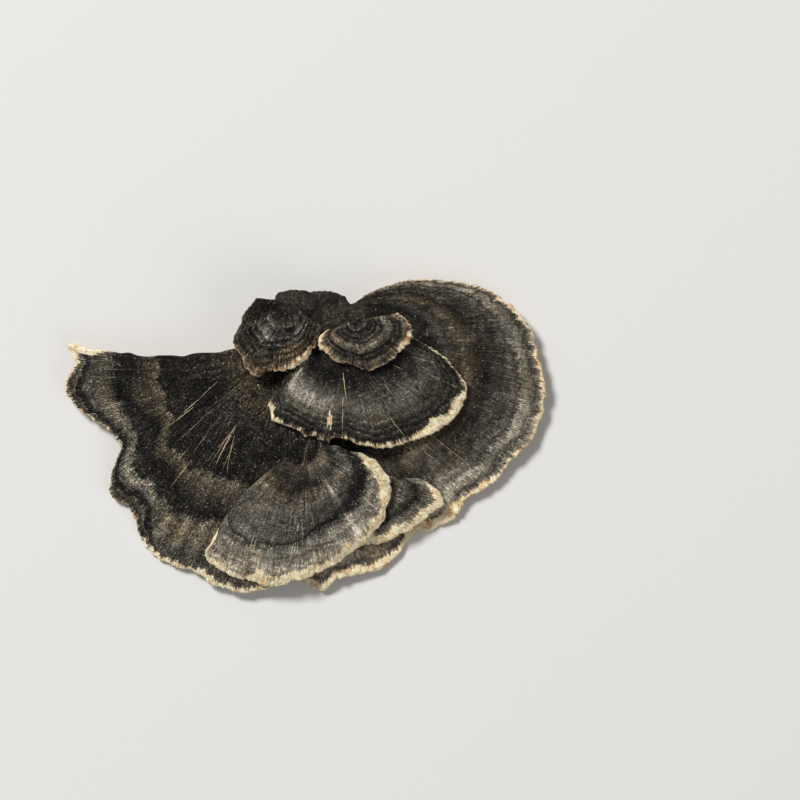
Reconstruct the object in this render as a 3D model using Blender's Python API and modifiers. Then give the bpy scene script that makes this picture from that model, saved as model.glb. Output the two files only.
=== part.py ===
"""Turkey tail fungus: one dried clump of overlapping caps that grew from a shared base.

Metres, +Z up. The origin is the centre of the flat cut under the base, where the clump left its wood. Seen from
above, the base is at the back (+Y), and the caps fan out to the left, the front and the right, pores down.

Each cap is a fan between its root and its margin. The lists below hold both in millimetres, the margin as points
from one side of the fan to the other, anticlockwise. A cap with a host grew out of the top of that larger cap.
"""

from dataclasses import dataclass

import bmesh
import bpy
import numpy as np
from mathutils import Vector
from mathutils.bvhtree import BVHTree

MM = 0.001

GAP = 0.45  # clearance between two pieces grown together, so that their flat faces stay 0.3 apart
ROOT_THICKNESS = 2.3
MARGIN_THICKNESS = 1.0
SHOULDER = 0.35  # how far the last of the surface rounds down into the margin
SHOULDER_FROM = 0.9  # where that begins, as a share of the way from root to margin
DROOP = 1.7  # how late a surface turns down towards its margin
FOLD_GROWTH = 1.5  # how late the folds across a fan grow
RIDGE = 0.2  # height of the growth ridges
RIDGE_SPACING = 8.5
RIDGES_FROM = 0.3  # share of the way out over which the ridges rise to that height
BODY_SHARE = 0.75  # thickness halfway out, of that at the root
BODY_AT = 0.5
THINNING_FROM = 0.55  # where a cap starts to thin towards its margin
SUNK = 0.5  # how far a hosted cap's root lies under its host's top
RISE = 0.28  # share of its length over which a hosted cap leaves its host
SIDE = 0.35  # share of a fan's breadth over which the curve of its side dies away

# A host's room is widened away from these places well inside its edges.
ROOM_SIDES = (0.02, 0.98)
ROOM_END = 0.96

GROUND_SIZE = 260.0
GROUND_DEPTH = 12.0


@dataclass(frozen=True)
class Cap:
    """One cap, in mm. Points are (x, y, height of the top).

    A fan begins its neck's length away from its root. Bends are how far its first and its last side curve off a
    straight line, anticlockwise. Folds are (waves across the fan, height, phase in turns), and across and
    outward are the faces each way.
    """

    name: str
    colour: tuple
    root: tuple
    neck: float
    margin: tuple
    bends: tuple
    crown: float
    folds: tuple
    across: int
    outward: int
    host: str = ""


LEFT_FAN = Cap(
    name="left_fan",
    colour=(0.042, 0.038, 0.033),
    root=(-3.6, -1.4, 10.0),
    neck=3.0,
    margin=(
        (-59.9, -2.3, 5.6), (-58.0, -6.3, 6.0), (-60.1, -14.5, 4.8), (-56.0, -19.4, 4.2), (-49.1, -23.9, 4.8),
        (-46.3, -27.3, 5.2), (-48.1, -33.5, 3.4), (-49.3, -39.3, 2.2), (-43.6, -44.2, 2.0), (-42.2, -49.0, 2.1),
        (-39.2, -54.2, 2.3), (-33.3, -58.0, 3.0), (-28.0, -59.3, 2.5), (-25.0, -61.6, 2.9), (-19.8, -63.8, 3.1),
        (-11.8, -64.2, 3.7), (-5.0, -61.2, 4.7), (0.0, -55.0, 5.9), (3.0, -46.0, 7.2), (5.4, -34.5, 8.4),
        (6.6, -22.0, 8.8),
    ),
    bends=(3.2, 0.0),
    crown=1.3,
    folds=((3.2, 0.5, 0.1), (7.0, 0.22, 0.4)),
    across=35,
    outward=13,
)
RIGHT_FAN = Cap(
    name="right_fan",
    colour=(0.060, 0.058, 0.054),
    root=(1.3, -0.8, 6.2),
    neck=3.0,
    margin=(
        (-3.9, -50.0, 2.2), (-3.0, -55.6, 2.0), (-1.2, -60.0, 1.9), (4.2, -64.2, 1.9), (8.3, -61.0, 2.7),
        (14.5, -59.8, 2.4), (19.3, -58.2, 1.9), (23.4, -54.8, 1.8), (27.2, -50.2, 2.1), (33.0, -48.3, 1.9),
        (37.6, -46.0, 2.0), (41.0, -40.8, 2.7), (46.4, -37.6, 2.6), (52.2, -31.2, 3.2), (57.6, -25.0, 3.8),
        (60.0, -15.6, 4.5), (58.8, -6.0, 4.8), (54.4, 4.6, 5.2), (46.2, 11.2, 5.2), (35.0, 13.8, 5.4),
        (24.0, 13.2, 5.8), (15.0, 10.0, 6.0),
    ),
    bends=(-1.6, 0.0),
    crown=1.2,
    folds=((3.4, 0.4, 0.55), (7.6, 0.18, 0.2)),
    across=35,
    outward=13,
)
FRONT_FAN = Cap(
    name="front_fan",
    colour=(0.068, 0.064, 0.057),
    root=(-0.3, -27.5, 10.6),
    neck=2.4,
    margin=(
        (-24.3, -53.4, 6.3), (-24.9, -56.2, 5.7), (-22.3, -58.6, 5.4), (-17.2, -60.7, 5.4), (-12.6, -61.8, 5.7),
        (-9.6, -62.9, 5.8), (-5.0, -62.4, 6.2), (2.9, -59.5, 6.6), (9.3, -56.0, 6.9), (14.2, -52.2, 7.3),
        (18.6, -47.8, 7.8), (20.9, -43.4, 8.5), (21.5, -37.8, 9.3), (18.6, -32.6, 10.2), (13.8, -29.8, 10.8),
    ),
    bends=(-2.4, 0.5),
    crown=1.5,
    folds=((4.4, 0.28, 0.3), (8.0, 0.14, 0.05)),
    across=25,
    outward=9,
    host="left_fan",
)
RIGHT_LOBE = Cap(
    name="right_lobe",
    colour=(0.080, 0.072, 0.060),
    root=(9.3, -33.5, 7.0),
    neck=1.2,
    margin=(
        (5.6, -45.0, 4.8), (6.8, -49.6, 4.5), (9.6, -52.2, 4.4), (13.4, -52.9, 4.5), (18.4, -52.2, 4.5),
        (23.8, -50.0, 4.6), (28.5, -47.4, 4.8), (32.0, -44.6, 5.2), (34.4, -41.8, 5.6), (33.2, -38.8, 5.8),
        (28.6, -36.2, 6.0),
    ),
    bends=(0.0, 0.0),
    crown=0.7,
    folds=((3.4, 0.18, 0.2),),
    across=15,
    outward=6,
    host="right_fan",
)
MIDDLE_FAN = Cap(
    name="middle_fan",
    colour=(0.072, 0.070, 0.066),
    root=(9.5, 0.0, 15.0),
    neck=2.5,
    margin=(
        (-4.0, -7.8, 14.2), (-5.8, -12.6, 13.8), (-8.9, -18.0, 13.0), (-8.2, -20.8, 12.8), (-4.3, -22.6, 13.0),
        (2.5, -25.9, 12.6), (9.8, -26.0, 12.4), (16.3, -28.1, 11.4), (21.6, -28.0, 10.3), (28.1, -26.0, 8.9),
        (35.0, -22.9, 8.3), (39.4, -18.2, 8.2), (40.2, -13.0, 8.8), (36.8, -7.4, 10.2), (30.6, -2.8, 12.0),
        (22.6, 1.4, 14.0),
    ),
    bends=(0.0, 0.0),
    crown=0.5,
    folds=((3.6, 0.25, 0.7), (6.2, 0.14, 0.3)),
    across=26,
    outward=9,
)
UPPER_LEFT_FAN = Cap(
    name="upper_left_fan",
    colour=(0.045, 0.041, 0.036),
    root=(-3.8, 8.0, 19.0),
    neck=0.8,
    margin=(
        (-11.9, 9.4, 17.6), (-14.4, 6.0, 17.2), (-16.4, 1.8, 16.4), (-17.8, -2.2, 15.6), (-15.6, -6.2, 15.2),
        (-14.4, -8.8, 14.9), (-11.6, -10.1, 15.0), (-8.4, -9.3, 15.4), (-5.2, -9.1, 15.8), (-1.0, -7.2, 16.8),
        (2.0, -4.6, 17.6), (3.3, -1.4, 18.2), (4.0, 2.0, 18.6),
    ),
    bends=(0.0, 0.0),
    crown=1.4,
    folds=((3.4, 0.2, 0.0),),
    across=18,
    outward=7,
)
UPPER_RIGHT_FAN = Cap(
    name="upper_right_fan",
    colour=(0.055, 0.049, 0.042),
    root=(12.8, 3.3, 19.2),
    neck=0.8,
    margin=(
        (5.8, 1.0, 18.2), (3.9, -0.6, 17.8), (3.5, -2.6, 17.4), (5.4, -4.7, 17.2), (8.4, -6.8, 17.2),
        (12.0, -7.8, 17.1), (15.4, -8.8, 16.9), (19.0, -7.6, 16.8), (23.4, -4.8, 16.9), (26.6, -1.2, 17.4),
        (26.2, 2.6, 18.0), (23.0, 5.4, 18.6),
    ),
    bends=(0.0, 0.0),
    crown=0.8,
    folds=((3.6, 0.2, 0.4),),
    across=17,
    outward=6,
)
CAPS = (LEFT_FAN, RIGHT_FAN, FRONT_FAN, RIGHT_LOBE, MIDDLE_FAN, UPPER_LEFT_FAN, UPPER_RIGHT_FAN)
NAMED = {cap.name: cap for cap in CAPS}

# The lumps of the base, centre and half sizes in mm. They are fused into one surface.
BASE_LUMPS = (
    ((1.0, 0.0, 4.5), (11.0, 9.0, 9.0)),
    ((6.4, -0.6, 10.2), (8.8, 7.4, 6.2)),
    ((-3.0, 6.2, 12.0), (5.8, 5.2, 5.6)),
    ((12.0, 3.4, 11.8), (6.0, 5.0, 5.8)),
    ((4.4, 5.6, 9.0), (8.4, 5.2, 5.4)),
)
BASE_GRAIN = 2.1  # size of the faces on the fused base
LUMP_FACES = (24, 14)  # around and from top to bottom of each lump before they are fused

TORN_TISSUE = (0.36, 0.26, 0.16)
CAP_ROUGHNESS = 0.85
BASE_ROUGHNESS = 0.9


def through(places, values, at):
    """A smooth curve through values at given places, one cubic between each two, read elsewhere."""
    slope = np.gradient(values, places)
    i = np.clip(np.searchsorted(places, at) - 1, 0, len(places) - 2)
    step = places[i + 1] - places[i]
    u = (at - places[i]) / step
    ends = (1 + 2 * u) * (1 - u) ** 2 * values[i] + u * u * (3 - 2 * u) * values[i + 1]
    return ends + u * (1 - u) * step * ((1 - u) * slope[i] - u * slope[i + 1])


def smooth(share):
    """0 below 0, 1 above 1, and an even rise between."""
    share = np.clip(share, 0, 1)
    return share * share * (3 - 2 * share)


def margin_at(cap, across):
    """Points of the margin, rows of x, y and height, where across runs from 0 to 1 along it."""
    points = np.array(cap.margin)
    run = np.append(0, np.cumsum(np.hypot(*np.diff(points[:, :2], axis=0).T)))
    return np.stack([through(run / run[-1], column, across) for column in points.T], axis=1)


def top_points(cap, across, out):
    """Points of a cap's top, where out runs from 0 at the root to 1 at the margin."""
    margin = margin_at(cap, across)
    root = np.array(cap.root)
    ray = margin[:, :2] - root[:2]
    length = np.hypot(*ray.T)
    ray /= length[:, None]
    first, last = cap.bends
    bend = first * (1 - smooth(across / SIDE)) + last * smooth((across - 1 + SIDE) / SIDE)
    radius = cap.neck + (length - cap.neck) * out
    aside = bend * np.sin(np.pi * out)
    x = root[0] + ray[:, 0] * radius - ray[:, 1] * aside
    y = root[1] + ray[:, 1] * radius + ray[:, 0] * aside
    folds = sum(tall * np.cos(2 * np.pi * (waves * across + turn)) for waves, tall, turn in cap.folds)
    ridges = RIDGE * np.cos(2 * np.pi * radius / RIDGE_SPACING) * smooth(out / RIDGES_FROM)
    z = root[2] + (margin[:, 2] - root[2]) * out**DROOP + cap.crown * np.sin(np.pi * out)
    z += folds * out**FOLD_GROWTH + ridges - SHOULDER * smooth((out - SHOULDER_FROM) / (1 - SHOULDER_FROM))
    return np.stack([x, y, z], axis=1)


def fan_sheet(cap):
    """A grid of faces laid over a cap's top, in mm, with each vertex's place across and out."""
    sheet = bmesh.new()
    bmesh.ops.create_grid(sheet, x_segments=cap.across, y_segments=cap.outward, size=0.5)
    places = np.array([(0.5 - vert.co.x, vert.co.y + 0.5) for vert in sheet.verts])
    points = top_points(cap, *places.T)
    if cap.host:
        host_top = np.array([height_on(NAMED[cap.host], point) for point in points])
        leaving = smooth(places[:, 1] / RISE)
        points[:, 2] = points[:, 2] * leaving + (host_top - SUNK) * (1 - leaving)
    for vert, point in zip(sheet.verts, points):
        vert.co = point
    return sheet, places


def height_on(host, point):
    """Height of a host's top at a point of the plan, or at the nearest point of its edge."""
    if host.name not in height_on.trees:
        sheet, _ = fan_sheet(host)
        height_on.trees[host.name] = BVHTree.FromBMesh(sheet)
        sheet.free()
    tree = height_on.trees[host.name]
    above = Vector((point[0], point[1], 100.0))
    hit = tree.ray_cast(above, Vector((0, 0, -1)))[0]
    return (hit or tree.find_nearest(Vector(point))[0]).z


height_on.trees = {}


def thickness(out, hosted):
    """Thickness of a cap, thin where it leaves a host and where it ends."""
    root = MARGIN_THICKNESS if hosted else ROOT_THICKNESS
    body = root + (BODY_SHARE * ROOT_THICKNESS - root) * smooth(out / BODY_AT)
    return body + (MARGIN_THICKNESS - body) * smooth((out - THINNING_FROM) / (1 - THINNING_FROM))


def skin(name, colour, roughness):
    """A plain material."""
    material = bpy.data.materials.new(f"{name}_skin")
    material.use_nodes = True
    shader = material.node_tree.nodes["Principled BSDF"]
    shader.inputs["Base Color"].default_value = (*colour, 1)
    shader.inputs["Roughness"].default_value = roughness
    shader.inputs["Metallic"].default_value = 0
    return material


def add_object(name, built, collection):
    """Makes an object of a finished bmesh that was built in millimetres."""
    bmesh.ops.scale(built, vec=(MM, MM, MM), verts=built.verts)
    mesh = bpy.data.meshes.new(name)
    built.to_mesh(mesh)
    built.free()
    mesh.shade_smooth()
    thing = bpy.data.objects.new(name, mesh)
    collection.objects.link(thing)
    return thing


def as_cutter(thing):
    """An object that only takes material away from others."""
    thing.hide_render = True
    thing.display_type = "WIRE"
    return thing


def add_cap(cap, collection):
    """A cap as an open fan with thickness under it."""
    sheet, places = fan_sheet(cap)
    thing = add_object(cap.name, sheet, collection)
    thing.data.materials.append(skin(cap.name, cap.colour, CAP_ROUGHNESS))
    thick = thickness(places[:, 1], bool(cap.host))
    group = thing.vertex_groups.new(name="thickness")
    for index, share in enumerate(thick / thick.max()):
        group.add([index], share, "REPLACE")
    flesh = thing.modifiers.new("Flesh", "SOLIDIFY")
    flesh.thickness = thick.max() * MM
    flesh.offset = -1
    flesh.vertex_group = group.name
    return thing


def add_host_room(host, name, collection):
    """All that lies under a host's top, the gap included, to cut a hosted cap with."""
    block, places = fan_sheet(host)
    inward = top_points(host, np.clip(places[:, 0], *ROOM_SIDES), np.minimum(places[:, 1], ROOM_END))
    for vert, place, within in zip(block.verts, places, inward):
        outward = Vector((vert.co.x - within[0], vert.co.y - within[1], 0))
        if place[0] in (0, 1) or place[1] == 1:
            vert.co += outward.normalized() * GAP
        vert.co.z += GAP
    skirt = bmesh.ops.extrude_face_region(block, geom=block.faces[:])["geom"]
    for vert in skirt:
        if isinstance(vert, bmesh.types.BMVert):
            vert.co.z = -GROUND_DEPTH
    bmesh.ops.recalc_face_normals(block, faces=block.faces[:])
    return as_cutter(add_object(name, block, collection))


def add_base(name, collection):
    """The base: lumps grown into one another under one even surface."""
    lumps = bmesh.new()
    for centre, half in BASE_LUMPS:
        lump = bmesh.ops.create_uvsphere(lumps, u_segments=LUMP_FACES[0], v_segments=LUMP_FACES[1], radius=1)["verts"]
        bmesh.ops.scale(lumps, vec=half, verts=lump)
        bmesh.ops.translate(lumps, vec=centre, verts=lump)
    thing = add_object(name, lumps, collection)
    fused = thing.modifiers.new("Fused", "REMESH")
    fused.mode = "VOXEL"
    fused.voxel_size = BASE_GRAIN * MM
    fused.use_smooth_shade = True
    return thing


def add_ground(collection):
    """What the clump rests on. The base ends flat here, and the lowest margins just touch it."""
    ground = bmesh.new()
    slab = bmesh.ops.create_cube(ground, size=1)["verts"]
    bmesh.ops.scale(ground, vec=(GROUND_SIZE, GROUND_SIZE, GROUND_DEPTH), verts=slab)
    bmesh.ops.translate(ground, vec=(0, 0, -GROUND_DEPTH / 2), verts=slab)
    return as_cutter(add_object("ground", ground, collection))


def take_out(thing, cutter, label):
    """Leaves only what of a thing lies outside a cutter."""
    boolean = thing.modifiers.new(label, "BOOLEAN")
    boolean.operation = "DIFFERENCE"
    boolean.object = cutter


def main():
    """The clump's pieces, each rooted in what it grew from with its cutters."""
    for old in list(bpy.data.objects):
        bpy.data.objects.remove(old)
    clump = bpy.data.collections.new("turkey_tail_fungus")
    cutters = bpy.data.collections.new("cutters")
    for collection in (clump, cutters):
        bpy.context.scene.collection.children.link(collection)

    ground = add_ground(cutters)
    base = add_base("base", clump)
    base.data.materials.append(skin("base", TORN_TISSUE, BASE_ROUGHNESS))
    take_out(base, ground, "Flat cut")

    base_room = as_cutter(add_base("base_room", cutters))
    swell = base_room.modifiers.new("Gap", "DISPLACE")
    swell.mid_level = 0
    swell.strength = GAP * MM

    for cap in CAPS:
        thing = add_cap(cap, clump)
        if cap.host:
            room = add_host_room(NAMED[cap.host], f"{cap.name}_host_room", cutters)
            take_out(thing, room, "Rooted in its host")
        else:
            take_out(thing, base_room, "Rooted in the base")


main()
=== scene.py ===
"""Looks of the turkey tail fungus: each cap rebuilt with its fine surface, in place of its plain solid.

The caps repeat the roots and margins of their solids, so that each surface lies where the solid's does.
Lengths are in mm until a mesh is made. Places on a cap are shares of it: across from its first side to its
last, and out from its root to its margin.
"""

from dataclasses import dataclass
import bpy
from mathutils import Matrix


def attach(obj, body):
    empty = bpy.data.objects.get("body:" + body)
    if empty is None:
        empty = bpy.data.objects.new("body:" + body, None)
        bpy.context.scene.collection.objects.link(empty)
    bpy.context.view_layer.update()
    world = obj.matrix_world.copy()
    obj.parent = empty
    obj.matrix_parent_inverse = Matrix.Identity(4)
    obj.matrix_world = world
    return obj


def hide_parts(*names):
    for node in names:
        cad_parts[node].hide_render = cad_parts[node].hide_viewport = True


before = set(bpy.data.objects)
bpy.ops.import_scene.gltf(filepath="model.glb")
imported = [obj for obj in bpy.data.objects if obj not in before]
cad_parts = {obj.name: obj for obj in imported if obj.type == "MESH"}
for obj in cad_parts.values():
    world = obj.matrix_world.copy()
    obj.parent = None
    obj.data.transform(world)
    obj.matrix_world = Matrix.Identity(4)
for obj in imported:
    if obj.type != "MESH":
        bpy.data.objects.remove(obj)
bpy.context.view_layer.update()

from types import SimpleNamespace

import bpy
import numpy as np
from mathutils import Vector
from mathutils.bvhtree import BVHTree

MM = 0.001

# The solids' own rules, repeated from the source of the part
ROOT_THICKNESS = 2.3
MARGIN_THICKNESS = 1.0
SHOULDER = 0.35
SHOULDER_FROM = 0.9
DROOP = 1.7
FOLD_GROWTH = 1.5
RIDGE = 0.2
RIDGE_SPACING = 8.5
RIDGES_FROM = 0.3
BODY_SHARE = 0.75
BODY_AT = 0.5
THINNING_FROM = 0.55
SUNK = 0.5
RISE = 0.28
SIDE = 0.35

# The fine surface
LATTICE = 256
UNDER_STEP = 3  # the underside has one face for this many each way on top
EDGE_ROWS = (0.0, 0.03, 0.1, 0.22, 0.4, 0.65, 1.0)  # how far the last rows are from a rounded edge
ROUNDING = 0.65  # how far in from an edge it rounds off, as a share of the thickness
INSIDE = -0.03  # how far behind its neck a cap reaches into the base
LEAST_OUT = 0.02
PRESSED_BELOW = 0.4  # lower points are pressed together above the floor
ATTRIBUTES = ("zone", "growth", "around", "radius", "rim", "pale", "paler", "browner")

# The ragged edges
TEETH_FROM = 0.7
TOOTH_BREADTH = 2.6
NOTCH_BREADTH = 1.3
NOTCH_DEPTH = 1.4  # as a share of a cap's raggedness
WAVES_FROM = 0.55
WAVE_BREADTH = 6.5
SIDE_BREADTH = 6.0  # how far in from its sides a cap follows them
SIDE_WAVE = 4.5
WANDER_LENGTH = 25.0  # the length of a cap whose sides wander by its raggedness
SIDES_PALE_FROM = 0.95
BARE_SIDE = 0.4  # breadth of the strip without pores along the sides below

# Heights of the relief
ZONE_RELIEF = 0.4  # how far the palest zone stands above the darkest
RING_HEIGHT = 0.14
FINE_RING_HEIGHT = 0.07
FURROW_DEPTH = 0.07
GRAIN_HEIGHT = 0.03
WOOL_HEIGHT = 0.05  # what the grain gains in the palest zone
NARROW_LUMP = 0.13  # lumps in the cream margin
ROUND_LUMP = 0.16

# How uneven the colours are
ZONE_DRIFT = 0.016  # how far the zones' edges wander
FINE_ZONE_DRIFT = 0.01
ZONE_GAP = 1e-4  # the least distance between zones that meet
PATCHED = 0.3
STREAKED = 0.28
BROWNED = 0.45
PALE_UNEVEN = 0.35

# Fibres and crumbs
CORNERS = 3  # of every strand's cross-section
TAPER = (0.16, 0.93)  # a strand's breadth follows a half wave from here to there
LIE = 0.02  # every fibre lies at least this high
INNER_ACROSS = (0.004, 0.996)
FIBRES_PER_MM = 1.9  # on each square millimetre
FIBRE_LENGTHS = (0.5, 1.6)
FIBRE_BREADTHS = (0.1, 0.22)
FIBRE_LIFTS = (0.03, 0.12)
FIBRE_TURN = 0.6  # in radians, off the line from the root
FIBRE_BEND = 0.9
FIBRE_TINTS = ((-0.3, 0.25), (0.0, 0.25), (0.15, 0.25), (0.3, 0.17), (0.6, 0.08))  # tint, share
SCRATCH_LENGTHS = (2.0, 9.0)
SCRATCH_BREADTHS = (0.06, 0.15)
SCRATCH_TINTS = (0.4, 0.8, 1.5)
FRINGE_PER_MM = 3.0
FRINGE_LENGTHS = (0.05, 0.32)
FRINGE_BREADTHS = (0.15, 0.4)
FRINGE_TINTS = (-0.2, 0.0, 0.4)
STREAK_THICKNESS = 0.2
LOOSE = 9.0  # the tint of what is torn loose, which has a colour of its own
CRUMB_SHARE = 110.0  # a cap's run times its length, for each crumb at random
CRUMB_SIZES = (0.12, 0.3)
CRUMB_TINTS = (0.8, 1.5, 2.5, LOOSE)

# The base
BASE_GRAIN = 0.45  # the size of its mesh's cells
LUMP_HEIGHT = 0.5
STRIP_HEIGHT = 0.35
CUT_HEIGHT = 0.02

# Materials
EVEN = 2.2  # the power that turns colours from even steps of brightness into reflected light
STUDIO = 1.12  # how much brighter the studio shows a level surface than what it reflects
PALEST = 0.98
DARKEST = 0.03
BROWNING = (1.1, 1.0, 0.86)
GRAIN_SHARE = (0.36, 0.36, 0.36)  # how strong the grain is, as a share of the colour
GRAIN_LEAST = (0.055, 0.052, 0.047)  # what is added to that
THREAD_BREADTH = 0.36
HAIR_BREADTH = 0.45
RING_BREADTH = 0.62
CELLS_PER_MM = 3.4
GRIT_PER_MM = 3.2
BLOTCHES_PER_MM = 0.55
SPECKS_PER_MM = 1.1
DOTS_PER_MM = 2.6
PORES_PER_MM = 3.2
FELT_BUMP = 0.18
FELT_ROUGHNESS = 0.92
BASE_BUMP = 0.4
BASE_ROUGHNESS = 0.95

# The studio: lights in metres and watts, with their places, breadths and powers
LIGHTS = {"key": ((-1.25, 1.4, 2.2), 0.8, 86.0), "fill": ((2.1, -1.8, 2.4), 3.0, 24.5)}
LIT = (0, -0.02, 0.01)
SKY_STRENGTH = 0.215
FLOOR_SIZE = 6
FLOOR_COLOUR = (0.72, 0.71, 0.69, 1)
CAMERA_HEIGHT = 1600.0  # above the caps' level
VIEW_SIDE = 200.0  # breadth of what the camera sees at the caps' level
VIEW_MIDDLE = (23.75, -16.25)
VIEW_LEVEL = 8


def shown(red, green, blue):
    """A colour as a screen shows it, 0 to 255 or a little paler, in even steps of brightness."""
    shares = np.array([red, green, blue]) / 255
    light = np.where(shares < 0.04045, shares / 12.92, ((shares + 0.055) / 1.055) ** 2.4)
    return (*(light / STUDIO) ** (1 / EVEN), 1.0)


def beyond(line, more):
    """A line across a fan, moved outward."""
    return tuple((across, out + more) for across, out in line)


PALETTE = {
    "coal": shown(27, 25, 22),
    "soot": shown(43, 40, 35),
    "umber": shown(60, 53, 42),
    "slate": shown(69, 66, 59),
    "drab": shown(90, 82, 68),
    "grey": shown(102, 97, 87),
    "ash": shown(132, 125, 111),
    "bloom": shown(168, 157, 139),
    "tan": shown(186, 154, 108),
    "straw": shown(262, 234, 189),
    "cream": shown(266, 247, 210),
    "rust": shown(184, 120, 64),
}


@dataclass(frozen=True)
class Cap:
    """One cap: its solid's values, and then those of its fine surface.

    Zones are the colours from the root (0) to the margin (1), some with the line across that they lie on.
    Pale is the breadth of the cream margin at places across. A patch is a place across and out, its half
    sizes, and how much lighter and browner it is. A streak is a pale fibre torn loose, from place to place,
    and its breadth. A crumb is a place and a size. Host is the cap that this one grows out of. Ragged and
    waves are how far the margin's teeth and waves reach. Gritty, rusty, ringed and curly are how strongly
    the grit, the margin's rust, the rings and the curls show. Scratches counts the felt's long fibres.
    """

    name: str
    root: tuple
    neck: float
    margin: tuple
    bends: tuple
    crown: float
    folds: tuple
    columns: int
    rows: int
    zones: tuple
    pale: tuple
    patches: tuple = ()
    streaks: tuple = ()
    crumbs: tuple = ()
    host: str = ""
    ragged: float = 0.35
    waves: float = 0.35
    gritty: float = 1.0
    rusty: float = 0.45
    ringed: float = 1.0
    curly: float = 0.3
    scratches: int = 60
    seed: int = 1


# Where the left fan's brown and grey bands start and end, as lines across it
BROWN_STARTS = (
    (0.0, 0.585), (0.1, 0.575), (0.15, 0.61), (0.2, 0.675), (0.25, 0.685), (0.3, 0.655), (0.4, 0.64),
    (0.45, 0.59), (0.5, 0.57), (1.0, 0.56),
)
BROWN_ENDS = (
    (0.0, 0.66), (0.1, 0.7), (0.15, 0.73), (0.2, 0.77), (0.25, 0.745), (0.3, 0.73), (0.4, 0.72), (0.5, 0.7),
    (1.0, 0.68),
)
GREY_STARTS = (
    (0.0, 0.78), (0.1, 0.76), (0.15, 0.81), (0.2, 0.88), (0.24, 0.875), (0.28, 0.85), (0.33, 0.835),
    (0.38, 0.835), (0.42, 0.8), (0.46, 0.765), (1.0, 0.755),
)
GREY_ENDS = (
    (0.0, 0.9), (0.1, 0.92), (0.15, 0.93), (0.2, 0.95), (0.24, 0.955), (0.28, 0.945), (0.33, 0.92),
    (0.38, 0.91), (0.42, 0.925), (0.46, 0.965), (0.52, 0.975), (1.0, 0.95),
)
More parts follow.
